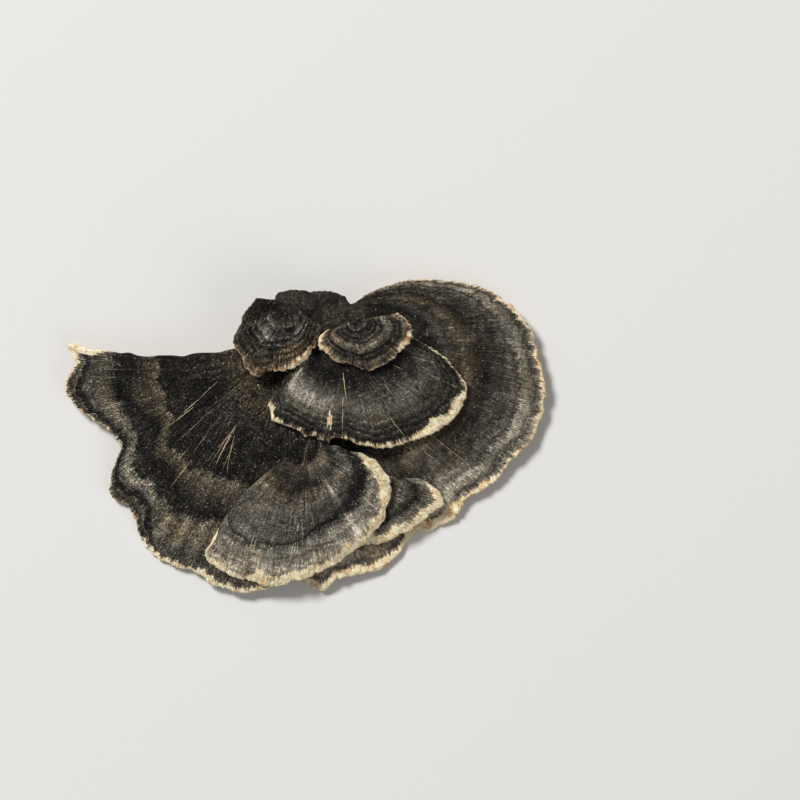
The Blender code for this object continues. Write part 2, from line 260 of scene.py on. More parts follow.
LEFT_FAN = Cap(
    name="left_fan",
    root=(-3.6, -1.4, 10.0),
    neck=3.0,
    margin=(
        (-59.9, -2.3, 5.6), (-58.0, -6.3, 6.0), (-60.1, -14.5, 4.8), (-56.0, -19.4, 4.2),
        (-49.1, -23.9, 4.8), (-46.3, -27.3, 5.2), (-48.1, -33.5, 3.4), (-49.3, -39.3, 2.2),
        (-43.6, -44.2, 2.0), (-42.2, -49.0, 2.1), (-39.2, -54.2, 2.3), (-33.3, -58.0, 3.0),
        (-28.0, -59.3, 2.5), (-25.0, -61.6, 2.9), (-19.8, -63.8, 3.1), (-11.8, -64.2, 3.7),
        (-5.0, -61.2, 4.7), (0.0, -55.0, 5.9), (3.0, -46.0, 7.2), (5.4, -34.5, 8.4), (6.6, -22.0, 8.8),
    ),
    bends=(3.2, 0.0),
    crown=1.3,
    folds=((3.2, 0.5, 0.1), (7.0, 0.22, 0.4)),
    columns=372,
    rows=180,
    zones=(
        (0.0, "coal"), (0.14, "soot"), (0.24, "umber"), (0.32, "soot"), (0.42, "coal"),
        (0.57, "coal", BROWN_STARTS), (0.586, "drab", beyond(BROWN_STARTS, 0.016)),
        (0.63, "umber", beyond(BROWN_STARTS, 0.055)), (0.69, "soot", BROWN_ENDS),
        (0.71, "coal", beyond(BROWN_ENDS, 0.02)), (0.77, "coal", GREY_STARTS),
        (0.79, "slate", beyond(GREY_STARTS, 0.02)), (0.83, "drab", beyond(GREY_STARTS, 0.05)),
        (0.88, "slate", beyond(GREY_ENDS, -0.025)), (0.905, "slate", GREY_ENDS),
        (0.918, "coal", beyond(GREY_ENDS, 0.012)), (0.946, "coal", beyond(GREY_ENDS, 0.035)),
        (0.956, "grey"), (0.966, "soot"), (0.985, "umber"), (0.995, "ash"),
    ),
    pale=(
        (0.0, 2.4), (0.015, 2.0), (0.04, 0.4), (0.2, 0.4), (0.22, 0.0), (0.3, -0.1), (0.36, 0.3),
        (0.42, 0.4), (0.45, 1.9), (0.47, 1.0), (0.5, 2.2), (0.53, 0.9), (0.56, 2.0), (0.7, 1.6), (1.0, 1.0),
    ),
    patches=(
        (0.13, 0.27, 0.1, 0.04, 0.1, 0.1), (0.24, 0.24, 0.05, 0.04, 0.0, 0.1),
        (0.27, 0.9, 0.03, 0.04, 1.5, -0.8), (0.32, 0.87, 0.04, 0.035, 2.0, -0.8),
        (0.38, 0.87, 0.02, 0.03, 0.6, -0.4), (0.49, 0.64, 0.05, 0.04, 0.5, 0.0),
        (0.438, 0.88, 0.01, 0.1, 0.9, 0.4), (0.458, 0.9, 0.008, 0.12, -0.5, 0.0),
        (0.476, 0.9, 0.009, 0.12, 1.0, 0.5), (0.494, 0.9, 0.007, 0.12, -0.3, 0.0),
        (0.512, 0.88, 0.01, 0.1, 0.8, 0.3), (0.53, 0.9, 0.007, 0.1, -0.4, 0.0),
        (0.56, 0.86, 0.02, 0.08, 0.4, 0.0), (0.12, 0.84, 0.05, 0.05, 0.1, -0.3),
        (0.07, 0.84, 0.07, 0.08, -0.3, 0.0), (0.155, 0.87, 0.04, 0.06, 1.1, -0.5),
        (0.66, 0.5, 0.05, 0.03, 1.5, 0.8), (0.25, 0.71, 0.03, 0.03, 0.7, 0.1),
        (0.05, 0.63, 0.05, 0.05, 0.0, 0.3), (0.42, 0.42, 0.06, 0.1, 0.6, -0.6),
        (0.35, 0.5, 0.03, 0.12, 0.5, -0.5), (0.2, 0.4, 0.04, 0.12, -0.3, 0.0),
        (0.35, 0.46, 0.45, 0.12, -0.35, 0.0), (0.3, 0.765, 0.4, 0.035, -0.4, 0.0),
    ),
    streaks=(
        (0.193, 0.37, 0.222, 0.52, 0.1), (0.222, 0.52, 0.236, 0.62, 0.22), (0.238, 0.55, 0.253, 0.69, 0.22),
        (0.452, 0.37, 0.466, 0.55, 0.22), (0.458, 0.38, 0.462, 0.48, 0.14), (0.47, 0.4, 0.513, 0.57, 0.13),
        (0.455, 0.36, 0.437, 0.56, 0.11), (0.45, 0.4, 0.449, 0.58, 0.09), (0.484, 0.43, 0.49, 0.55, 0.1),
        (0.325, 0.41, 0.328, 0.64, 0.09), (0.395, 0.61, 0.4, 0.77, 0.12), (0.375, 0.5, 0.38, 0.6, 0.08),
    ),
    crumbs=(
        (0.428, 0.18, 0.45), (0.478, 0.287, 0.3), (0.339, 0.25, 0.25), (0.666, 0.46, 0.25),
        (0.672, 0.455, 0.2),
    ),
    gritty=1.2,
    rusty=0.35,
    curly=1.0,
    scratches=170,
    seed=11,
)
RIGHT_FAN = Cap(
    name="right_fan",
    root=(1.3, -0.8, 6.2),
    neck=3.0,
    margin=(
        (-3.9, -50.0, 2.2), (-3.0, -55.6, 2.0), (-1.2, -60.0, 1.9), (4.2, -64.2, 1.9), (8.3, -61.0, 2.7),
        (14.5, -59.8, 2.4), (19.3, -58.2, 1.9), (23.4, -54.8, 1.8), (27.2, -50.2, 2.1), (33.0, -48.3, 1.9),
        (37.6, -46.0, 2.0), (41.0, -40.8, 2.7), (46.4, -37.6, 2.6), (52.2, -31.2, 3.2), (57.6, -25.0, 3.8),
        (60.0, -15.6, 4.5), (58.8, -6.0, 4.8), (54.4, 4.6, 5.2), (46.2, 11.2, 5.2), (35.0, 13.8, 5.4),
        (24.0, 13.2, 5.8), (15.0, 10.0, 6.0),
    ),
    bends=(-1.6, 0.0),
    crown=1.2,
    folds=((3.4, 0.4, 0.55), (7.6, 0.18, 0.2)),
    columns=372,
    rows=168,
    zones=(
        (0.0, "soot"), (0.45, "soot"), (0.5, "coal"), (0.57, "slate"), (0.61, "umber"), (0.65, "drab"),
        (0.69, "umber"), (0.73, "soot"), (0.78, "slate"), (0.8, "umber"), (0.83, "slate"), (0.86, "grey"),
        (0.875, "slate"), (0.9, "ash"), (0.93, "ash"), (0.95, "slate"), (0.965, "grey"), (0.98, "ash"),
    ),
    pale=(
        (0.0, 2.0), (0.15, 2.6), (0.27, 2.0), (0.31, 3.2), (0.37, 3.0), (0.39, 1.2), (0.42, 1.8),
        (0.47, 0.7), (0.6, 1.4), (0.8, 1.0), (1.0, 0.7),
    ),
    patches=(
        (0.38, 0.75, 0.03, 0.15, 1.1, 0.1), (0.42, 0.86, 0.02, 0.08, 1.0, 0.0),
        (0.33, 0.62, 0.04, 0.06, -0.3, 0.0), (0.35, 0.9, 0.035, 0.07, 1.4, 0.2),
        (0.52, 0.92, 0.08, 0.05, 0.5, -0.3), (0.52, 0.6, 0.06, 0.08, 0.25, 0.0),
        (0.16, 0.93, 0.1, 0.05, 0.8, 0.2), (0.72, 0.55, 0.1, 0.1, 0.25, 0.3),
        (0.85, 0.75, 0.06, 0.1, 0.3, 0.0), (0.345, 0.72, 0.008, 0.2, 0.5, 0.0),
        (0.437, 0.75, 0.012, 0.2, 0.5, 0.0),
    ),
    streaks=((0.436, 0.52, 0.438, 0.93, 0.1), (0.404, 0.6, 0.412, 0.74, 0.1), (0.395, 0.7, 0.4, 0.8, 0.1)),
    gritty=0.65,
    ringed=0.8,
    scratches=150,
    seed=23,
)
# Where the front fan's dark band starts and ends, as lines across it
DARK_STARTS = (
    (0.0, 0.66), (0.2, 0.68), (0.4, 0.64), (0.5, 0.595), (0.6, 0.575), (0.7, 0.52), (0.85, 0.5), (1.0, 0.5),
)
DARK_ENDS = (
    (0.0, 0.68), (0.2, 0.7), (0.4, 0.67), (0.5, 0.66), (0.6, 0.66), (0.7, 0.675), (0.85, 0.69), (1.0, 0.7),
)
FRONT_FAN = Cap(
    name="front_fan",
    root=(-0.3, -27.5, 10.6),
    neck=2.4,
    margin=(
        (-24.3, -53.4, 6.3), (-24.9, -56.2, 5.7), (-22.3, -58.6, 5.4), (-17.2, -60.7, 5.4),
        (-12.6, -61.8, 5.7), (-9.6, -62.9, 5.8), (-5.0, -62.4, 6.2), (2.9, -59.5, 6.6), (9.3, -56.0, 6.9),
        (14.2, -52.2, 7.3), (18.6, -47.8, 7.8), (20.9, -43.4, 8.5), (21.5, -37.8, 9.3), (18.6, -32.6, 10.2),
        (13.8, -29.8, 10.8),
    ),
    bends=(-2.4, 0.5),
    crown=1.5,
    folds=((4.4, 0.28, 0.3), (8.0, 0.14, 0.05)),
    columns=300,
    rows=132,
    zones=(
        (0.0, "drab"), (0.12, "umber"), (0.2, "soot"), (0.29, "soot"), (0.33, "slate"), (0.42, "grey"),
        (0.5, "slate"), (0.58, "slate", DARK_STARTS), (0.6, "soot", beyond(DARK_STARTS, 0.025)),
        (0.66, "coal", beyond(DARK_ENDS, -0.02)), (0.68, "slate", beyond(DARK_ENDS, 0.01)),
        (0.7, "grey", beyond(DARK_ENDS, 0.04)), (0.77, "ash"), (0.8, "grey"), (0.85, "ash"),
        (0.89, "bloom"),
    ),
    pale=(
        (0.0, 1.7), (0.1, 1.9), (0.19, 1.5), (0.22, 3.0), (0.3, 3.2), (0.5, 2.8), (0.75, 2.8), (0.83, 4.6),
        (0.9, 6.5), (0.95, 4.0), (1.0, 2.0),
    ),
    patches=(
        (0.625, 0.4, 0.012, 0.16, 3.2, 0.2), (0.628, 0.8, 0.012, 0.16, 1.6, 0.2),
        (0.13, 0.55, 0.1, 0.08, 0.8, 0.0), (0.4, 0.32, 0.2, 0.05, 0.3, 0.4),
        (0.06, 0.27, 0.12, 0.07, 2.2, 1.0), (0.16, 0.67, 0.16, 0.04, 1.0, 0.0),
        (0.08, 0.41, 0.14, 0.05, -0.5, 0.0), (0.4, 0.24, 0.12, 0.05, -0.4, 0.0),
        (0.21, 0.82, 0.03, 0.05, 0.5, 0.9), (0.74, 0.34, 0.1, 0.05, 0.5, 0.6),
        (0.43, 0.82, 0.012, 0.1, 0.6, 0.2), (0.09, 0.89, 0.1, 0.015, -0.7, 0.0),
        (0.76, 0.62, 0.08, 0.06, -0.5, 0.0), (0.32, 0.55, 0.16, 0.08, 0.5, -0.1),
        (0.45, 0.8, 0.3, 0.08, 0.4, -0.1), (0.12, 0.75, 0.1, 0.012, -0.6, 0.0),
        (0.55, 0.45, 0.06, 0.12, -0.2, 0.0), (0.74, 0.16, 0.16, 0.1, 2.6, 0.2),
        (0.5, 0.1, 0.06, 0.06, 1.5, 0.2), (0.06, 0.8, 0.06, 0.06, -0.2, 0.0),
        (0.63, 0.22, 0.03, 0.05, -0.5, 0.0),
    ),
    streaks=(
        (0.165, 0.67, 0.17, 0.79, 0.2), (0.181, 0.68, 0.185, 0.78, 0.16), (0.36, 0.55, 0.362, 0.6, 0.3),
    ),
    crumbs=(
        (0.357, 0.59, 0.35), (0.62, 0.67, 0.3), (0.695, 0.675, 0.35), (0.735, 0.685, 0.3),
        (0.765, 0.68, 0.35), (0.8, 0.69, 0.3), (0.825, 0.7, 0.45), (0.833, 0.73, 0.4),
    ),
    host="left_fan",
    gritty=0.8,
    rusty=0.25,
    curly=0.6,
    ringed=1.2,
    seed=37,
)
RIGHT_LOBE = Cap(
    name="right_lobe",
    root=(9.3, -33.5, 7.0),
    neck=1.2,
    margin=(
        (5.6, -45.0, 4.8), (6.8, -49.6, 4.5), (9.6, -52.2, 4.4), (13.4, -52.9, 4.5), (18.4, -52.2, 4.5),
        (23.8, -50.0, 4.6), (28.5, -47.4, 4.8), (32.0, -44.6, 5.2), (34.4, -41.8, 5.6), (33.2, -38.8, 5.8),
        (28.6, -36.2, 6.0),
    ),
    bends=(0.0, 0.0),
    crown=0.7,
    folds=((3.4, 0.18, 0.2),),
    columns=180,
    rows=78,
    zones=(
        (0.0, "soot"), (0.22, "soot"), (0.3, "drab"), (0.42, "slate"), (0.5, "drab"), (0.6, "grey"),
        (0.68, "slate"), (0.74, "soot"), (0.8, "grey"), (0.88, "ash"), (0.94, "bloom"),
    ),
    pale=((0.0, 2.0), (0.3, 2.6), (0.6, 2.6), (0.85, 2.4), (0.93, 1.6), (0.97, 0.2), (1.0, 0.0)),
    patches=((0.3, 0.55, 0.2, 0.12, 0.4, 0.2), (0.6, 0.35, 0.1, 0.05, 0.6, 0.2)),
    host="right_fan",
    gritty=0.7,
    rusty=0.3,
    ringed=1.4,
    scratches=20,
    seed=41,
)
MIDDLE_FAN = Cap(
    name="middle_fan",
    root=(9.5, 0.0, 15.0),
    neck=2.5,
    margin=(
        (-4.0, -7.8, 14.2), (-5.8, -12.6, 13.8), (-8.9, -18.0, 13.0), (-8.2, -20.8, 12.8),
        (-4.3, -22.6, 13.0), (2.5, -25.9, 12.6), (9.8, -26.0, 12.4), (16.3, -28.1, 11.4),
        (21.6, -28.0, 10.3), (28.1, -26.0, 8.9), (35.0, -22.9, 8.3), (39.4, -18.2, 8.2), (40.2, -13.0, 8.8),
        (36.8, -7.4, 10.2), (30.6, -2.8, 12.0), (22.6, 1.4, 14.0),
    ),
    bends=(0.0, 0.0),
    crown=0.5,
    folds=((3.6, 0.25, 0.7), (6.2, 0.14, 0.3)),
    columns=288,
    rows=123,
    zones=(
        (0.0, "coal"), (0.34, "coal"), (0.42, "soot"), (0.52, "slate"), (0.6, "grey"), (0.68, "grey"),
        (0.73, "slate"), (0.76, "drab"), (0.785, "slate"), (0.81, "soot"), (0.835, "slate"), (0.85, "soot"),
        (0.87, "coal"), (0.885, "slate"), (0.91, "soot"), (0.94, "coal"), (0.965, "umber"),
    ),
    pale=(
        (0.0, -0.3), (0.1, 0.4), (0.13, 1.8), (0.16, 1.2), (0.2, 0.4), (0.3, 0.3), (0.37, 0.5), (0.41, 1.0),
        (0.53, 1.1), (0.57, 2.2), (0.6, 3.2), (0.69, 2.8), (0.75, 1.4), (0.8, 0.8), (1.0, 0.5),
    ),
    patches=(
        (0.09, 0.62, 0.05, 0.17, 2.9, -0.3), (0.2, 0.64, 0.09, 0.12, 1.5, -0.3),
        (0.6, 0.62, 0.05, 0.2, 0.5, -0.2), (0.72, 0.6, 0.09, 0.25, -0.4, 0.0),
        (0.15, 0.1, 0.1, 0.1, 0.6, 0.9), (0.22, 0.8, 0.1, 0.03, 0.4, 0.3),
        (0.307, 0.83, 0.012, 0.1, 1.0, 0.3), (0.18, 0.5, 0.04, 0.08, 0.6, -0.3),
    ),
    streaks=(
        (0.353, 0.3, 0.364, 0.57, 0.22), (0.35, 0.56, 0.346, 0.92, 0.2), (0.517, 0.72, 0.526, 0.98, 0.2),
        (0.447, 0.73, 0.444, 0.84, 0.1), (0.7, 0.38, 0.705, 0.46, 0.1), (0.303, 0.69, 0.307, 0.86, 0.9),
        (0.31, 0.74, 0.313, 0.9, 0.7), (0.299, 0.76, 0.305, 0.87, 0.6),
    ),
    gritty=0.8,
    rusty=0.3,
    ringed=1.0,
    seed=53,
)
UPPER_LEFT_FAN = Cap(
    name="upper_left_fan",
    root=(-3.8, 8.0, 19.0),
    neck=0.8,
    margin=(
        (-11.9, 9.4, 17.6), (-14.4, 6.0, 17.2), (-16.4, 1.8, 16.4), (-17.8, -2.2, 15.6),
        (-15.6, -6.2, 15.2), (-14.4, -8.8, 14.9), (-11.6, -10.1, 15.0), (-8.4, -9.3, 15.4),
        (-5.2, -9.1, 15.8), (-1.0, -7.2, 16.8), (2.0, -4.6, 17.6), (3.3, -1.4, 18.2), (4.0, 2.0, 18.6),
    ),
    bends=(0.0, 0.0),
    crown=1.4,
    folds=((3.4, 0.2, 0.0),),
    columns=210,
    rows=90,
    zones=(
        (0.0, "soot"), (0.14, "coal"), (0.28, "soot"), (0.345, "slate"), (0.38, "coal"), (0.45, "soot"),
        (0.51, "slate"), (0.545, "coal"), (0.6, "slate"), (0.64, "coal"), (0.7, "umber"), (0.74, "coal"),
        (0.8, "umber"), (0.84, "coal"), (0.9, "umber"),
    ),
    pale=(
        (0.0, -0.4), (0.25, -0.2), (0.35, 0.4), (0.5, 0.6), (0.62, 0.8), (0.66, 2.2), (0.8, 1.8),
        (0.86, 0.8), (1.0, 0.2),
    ),
    patches=(
        (0.72, 0.72, 0.09, 0.16, 3.0, 1.4), (0.38, 0.42, 0.11, 0.14, 3.4, -0.9),
        (0.52, 0.9, 0.12, 0.08, 1.0, 1.2), (0.35, 0.66, 0.12, 0.05, -0.5, 0.0),
        (0.1, 0.6, 0.16, 0.4, -0.8, 0.6),
    ),
    gritty=1.0,
    rusty=0.9,
    ringed=1.8,
    curly=0.9,
    scratches=30,
    seed=67,
)
UPPER_RIGHT_FAN = Cap(
    name="upper_right_fan",
    root=(12.8, 3.3, 19.2),
    neck=0.8,
    margin=(
        (5.8, 1.0, 18.2), (3.9, -0.6, 17.8), (3.5, -2.6, 17.4), (5.4, -4.7, 17.2), (8.4, -6.8, 17.2),
        (12.0, -7.8, 17.1), (15.4, -8.8, 16.9), (19.0, -7.6, 16.8), (23.4, -4.8, 16.9), (26.6, -1.2, 17.4),
        (26.2, 2.6, 18.0), (23.0, 5.4, 18.6),
    ),
    bends=(0.0, 0.0),
    crown=0.8,
    folds=((3.6, 0.2, 0.4),),
    columns=210,
    rows=84,
    zones=(
        (0.0, "coal"), (0.14, "slate"), (0.18, "coal"), (0.25, "soot"), (0.29, "slate"), (0.33, "coal"),
        (0.39, "slate"), (0.43, "soot"), (0.48, "drab"), (0.54, "grey"), (0.6, "drab"), (0.65, "slate"),
        (0.69, "coal"), (0.74, "umber"), (0.79, "soot"), (0.84, "drab"),
    ),
    pale=((0.0, 0.8), (0.15, 1.4), (0.35, 0.5), (0.65, 0.6), (0.74, 1.6), (1.0, 0.6)),
    patches=(
        (0.37, 0.8, 0.03, 0.12, 0.5, 1.0), (0.15, 0.58, 0.1, 0.08, 0.4, 0.4),
        (0.25, 0.8, 0.1, 0.05, -0.4, 0.0),
    ),
    gritty=0.8,
    rusty=0.7,
    ringed=1.8,
    scratches=20,
    seed=71,
)
CAPS = (LEFT_FAN, RIGHT_FAN, FRONT_FAN, RIGHT_LOBE, MIDDLE_FAN, UPPER_LEFT_FAN, UPPER_RIGHT_FAN)


def smooth(share):
    """0 below 0, 1 above 1, and an even rise between."""
    share = np.clip(share, 0, 1)
    return share * share * (3 - 2 * share)


def through(places, values, at):
    """A smooth curve through values at given places, one cubic between each two, read elsewhere."""
    slope = np.gradient(values, places)
    i = np.clip(np.searchsorted(places, at) - 1, 0, len(places) - 2)
    step = places[i + 1] - places[i]
    u = (at - places[i]) / step
    ends = (1 + 2 * u) * (1 - u) ** 2 * values[i] + u * u * (3 - 2 * u) * values[i + 1]
    return ends + u * (1 - u) * step * ((1 - u) * slope[i] - u * slope[i + 1])


def noise(x, y, seed):
    """Smooth noise from -1 to 1, with bumps about one unit across."""
    lattice = np.random.default_rng(seed).uniform(-1, 1, (LATTICE, LATTICE))
    column, row = np.floor(x).astype(int), np.floor(y).astype(int)
    u, v = smooth(x - column), smooth(y - row)

    def corner(right, up):
        return lattice[(column + right) % LATTICE, (row + up) % LATTICE]

    near = corner(0, 0) * (1 - u) + corner(1, 0) * u
    far = corner(0, 1) * (1 - u) + corner(1, 1) * u
    return near * (1 - v) + far * v


def rough(x, y, seed, octaves=3):
    """Noise with finer noise on it."""
    return sum(noise(x * 2**k, y * 2**k, seed + k) / 2**k for k in range(octaves))


def margin_run(cap):
    """How far along the margin each of its points lies."""
    points = np.array(cap.margin)
    return np.append(0, np.cumsum(np.hypot(*np.diff(points[:, :2], axis=0).T)))


def margin_at(cap, across):
    """The margin's points at places across the cap."""
    run = margin_run(cap)
    return np.stack([through(run / run[-1], column, across) for column in np.array(cap.margin).T], axis=-1)


def edged(count, start, length):
    """Count + 1 shares from start to 1, close together at the end as EDGE_ROWS says for that length."""
    edge = 1 - np.array(EDGE_ROWS) / length
    return np.append(np.linspace(start, edge[-1], count - len(edge) + 2)[:-1], edge[::-1])


def upward(points):
    """The upward normals of a grid of points."""
    normal = np.cross(np.gradient(points, axis=1), np.gradient(points, axis=0))
    return normal * (np.sign(normal[..., 2:]) / np.linalg.norm(normal, axis=2, keepdims=True))


class Surface:
    """A cap's fine surface: grids with a row for each step outward and a column for each step across.

    The seed of each noise is a fixed number past the cap's.
    """

    def __init__(self, cap, surfaces):
        self.cap = cap
        self.run = margin_run(cap)[-1]
        half = edged(cap.columns // 2, 0.0, self.run / 2)
        self.across = np.append(0.5 - half[::-1] / 2, 0.5 + half[1:] / 2)
        margin = margin_at(cap, self.across)
        ray = margin[:, :2] - np.array(cap.root)[:2]
        self.length = np.hypot(*ray.T)
        self.out = edged(cap.rows, 0.0 if cap.host else INSIDE, self.length.mean())
        across, out = np.meshgrid(self.across, self.out)
        self.around = across * self.run
        self.growth = out
        self.radius, middle = self.middle(across, out, margin, ray / self.length[:, None])
        if cap.host:
            self.leave_host(middle, surfaces[cap.host])
        self.normal = upward(middle)
        rim = (1 - out) * self.length
        side = np.minimum(across, 1 - across) * self.run * np.clip(out, LEAST_OUT, 1)
        self.rim = np.minimum(rim, side + SIDE_BREADTH * smooth((SIDES_PALE_FROM - out) / 0.3))
        self.pored = np.maximum(smooth((side - BARE_SIDE) / 1.5), smooth((out - 0.75) / 0.2))
        self.paint(across)
        self.thicken(middle, np.minimum(rim, side))

    def middle(self, across, out, margin, ray):
        """How far each point is from the root, and the cap's even surface without its fine relief."""
        cap = self.cap
        notches = abs(noise(self.around / NOTCH_BREADTH, 0 * out, cap.seed + 1))
        teeth = rough(self.around / TOOTH_BREADTH, 0 * out, cap.seed)
        teeth = teeth + NOTCH_DEPTH / 2 - NOTCH_DEPTH * notches
        length = self.length + teeth * cap.ragged * smooth((out - TEETH_FROM) / (1 - TEETH_FROM))
        first, last = cap.bends
        bend = first * (1 - smooth(across / SIDE)) + last * smooth((across - 1 + SIDE) / SIDE)
        radius = cap.neck + (length - cap.neck) * out
        reach = np.clip(out, 0, 1)
        nearness = 1 - smooth(np.minimum(across, 1 - across) * self.run / SIDE_BREADTH)
        wander = cap.ragged * self.length.mean() / WANDER_LENGTH
        wander = wander * rough(radius / SIDE_WAVE, 9 * across, cap.seed + 3, 2)
        aside = bend * np.sin(np.pi * reach) + nearness * wander * reach
        x = cap.root[0] + ray[:, 0] * radius - ray[:, 1] * aside
        y = cap.root[1] + ray[:, 1] * radius + ray[:, 0] * aside
        folds = sum(tall * np.cos(2 * np.pi * (waves * across + turn)) for waves, tall, turn in cap.folds)
        ridges = RIDGE * np.cos(2 * np.pi * radius / RIDGE_SPACING) * smooth(reach / RIDGES_FROM)
        z = cap.root[2] + (margin[:, 2] - cap.root[2]) * reach**DROOP + cap.crown * np.sin(np.pi * reach)
        z += folds * reach**FOLD_GROWTH + ridges
        z -= SHOULDER * smooth((reach - SHOULDER_FROM) / (1 - SHOULDER_FROM))
        waves = cap.waves * rough(self.around / WAVE_BREADTH, out * 1.5, cap.seed + 5, 2)
        z += waves * smooth((out - WAVES_FROM) / (1 - WAVES_FROM))
        return radius, np.stack([x, y, z], axis=2)

    def leave_host(self, points, host):
        """Bends the inner part of a cap down into the cap it grows out of."""
        leaving = smooth(self.growth / RISE)
        for row, column in np.argwhere(leaving < 1):
            share = leaving[row, column]
            point = points[row, column]
            point[2] *= share
            point[2] += (host.height(point) - SUNK) * (1 - share)

    def height(self, point):
        """The height of the cap's top under or over a point."""
        if not hasattr(self, "tree"):
            corners, faces = self.top.reshape(-1, 3), quads(*self.growth.shape)
            self.tree = BVHTree.FromPolygons(corners.tolist(), faces.tolist())
        down = self.tree.ray_cast(Vector((point[0], point[1], 100.0)), Vector((0, 0, -1)))[0]
        return (down or self.tree.find_nearest(Vector(point))[0]).z

    def thickness(self):
        root = MARGIN_THICKNESS if self.cap.host else ROOT_THICKNESS
        body = root + (BODY_SHARE * ROOT_THICKNESS - root) * smooth(self.growth / BODY_AT)
        thinning = smooth((self.growth - THINNING_FROM) / (1 - THINNING_FROM))
        return body + (MARGIN_THICKNESS - body) * thinning

    def thicken(self, middle, edge):
        """The top and the underside, which meet in a round edge and are pressed together at the floor."""
        thick = self.thickness()
        near = np.clip(edge / (ROUNDING * thick), 0, 1)
        full = np.sqrt(1 - (1 - near) ** 2)
        inset = ((1 - full) * thick / 2)[..., None]
        relief = (self.relief() * full)[..., None]
        self.top = middle + self.normal * (relief - inset)
        self.under = middle - self.normal * (thick[..., None] - inset)
        for grid in (self.top, self.under):
            height = grid[..., 2]
            low = height < PRESSED_BELOW
            height[low] = PRESSED_BELOW * np.exp(height[low] / PRESSED_BELOW - 1)

    def bumps(self, breadth, length, number, octaves=1):
        """Noise with bumps of this breadth around and length outward, and a number for its seed."""
        return rough(self.around / breadth, self.radius / length, self.cap.seed + number, octaves)

    def paint(self, across):
        """What the material reads: the place in the zones, the lightness, the brownness and the cream."""
        out = self.growth
        drift = ZONE_DRIFT * self.bumps(7, 7, 31) + FINE_ZONE_DRIFT * self.bumps(2.4, 4, 32)
        self.zone = self.zoned(out + drift * smooth((1 - out) / 0.1))
        streaky = STREAKED * self.bumps(2.4, 30, 36, 2) * smooth((out - 0.45) / 0.3)
        self.paler = PATCHED * self.bumps(8, 5, 33, 3) + streaky
        self.browner = BROWNED * self.bumps(11, 7, 34, 2)
        for middle, reach, half, deep, paler, browner in self.cap.patches:
            share = np.exp(-(((across - middle) / half) ** 2 + ((out - reach) / deep) ** 2))
            self.paler += paler * share
            self.browner += browner * share
        breadth = np.interp(across, *np.array(self.cap.pale).T)
        self.pale = breadth * (1 + PALE_UNEVEN * self.bumps(3.5, np.inf, 35))

    def zoned(self, out):
        """The place in the zones, which lie along their own lines across the fan."""
        places = [zone[0] for zone in self.cap.zones]
        lines = [zone[2] if len(zone) > 2 else ((0.0, zone[0]),) for zone in self.cap.zones]
        lie = np.array([np.interp(self.across, *np.array(line).T) for line in lines])
        lie = np.maximum.accumulate(lie + ZONE_GAP * np.arange(len(places))[:, None])
        return np.stack([np.interp(out[:, i], lie[:, i], places) for i in range(len(self.across))], axis=1)

    def relief(self):
        """Growth ridges, radial furrows and grain, as heights."""
        seed = self.cap.seed
        wavering = self.radius + 0.9 * self.bumps(9, 9, 11)
        rings = RING_HEIGHT * noise(wavering / 1.9, self.around / 60, seed + 12)
        rings += FINE_RING_HEIGHT * noise(wavering / 0.8, self.around / 30, seed + 13)
        ringed = 0.6 + 0.5 * self.bumps(12, 8, 14)
        brightness = np.array([PALETTE[zone[1]][1] for zone in self.cap.zones])
        woolly = np.interp(self.zone, [zone[0] for zone in self.cap.zones], brightness)
        woolly = (woolly - brightness.min()) / np.ptp(brightness)
        edge = smooth(1 - self.rim / (1.2 * self.pale + 0.6))
        lumps = NARROW_LUMP * self.bumps(0.75, 4, 17) + ROUND_LUMP * self.bumps(1.5, 1.5, 18)
        grain = (GRAIN_HEIGHT + WOOL_HEIGHT * woolly) * self.bumps(0.7, 0.9, 16)
        furrows = FURROW_DEPTH * self.bumps(1.1, 9, 15)
        return ZONE_RELIEF * woolly + lumps * edge + rings * ringed + furrows + grain

    def attributes(self):
        return {name: getattr(self, name) for name in ATTRIBUTES}

    def read(self, grid, across, out):
        """A grid's values at places between its rows and columns."""
        column = np.interp(across, self.across, np.arange(len(self.across)))
        row = np.interp(out, self.out, np.arange(len(self.out)))
        j = np.minimum(column.astype(int), len(self.across) - 2)
        i = np.minimum(row.astype(int), len(self.out) - 2)
        u, v = column - j, row - i
        if grid.ndim == 3:
            u, v = u[..., None], v[..., None]
        near = grid[i, j] * (1 - u) + grid[i, j + 1] * u
        return near * (1 - v) + (grid[i + 1, j] * (1 - u) + grid[i + 1, j + 1] * u) * v

    def above(self, across, out, height):
        """Points at a height over places on the cap's top."""
        return self.read(self.top, across, out) + height * self.read(self.normal, across, out)


def quads(rows, columns):
    """The faces of a grid of points numbered row by row."""
    index = np.arange(rows * columns).reshape(rows, columns)
    return np.stack([index[:-1, :-1], index[:-1, 1:], index[1:, 1:], index[1:, :-1]], axis=2).reshape(-1, 4)


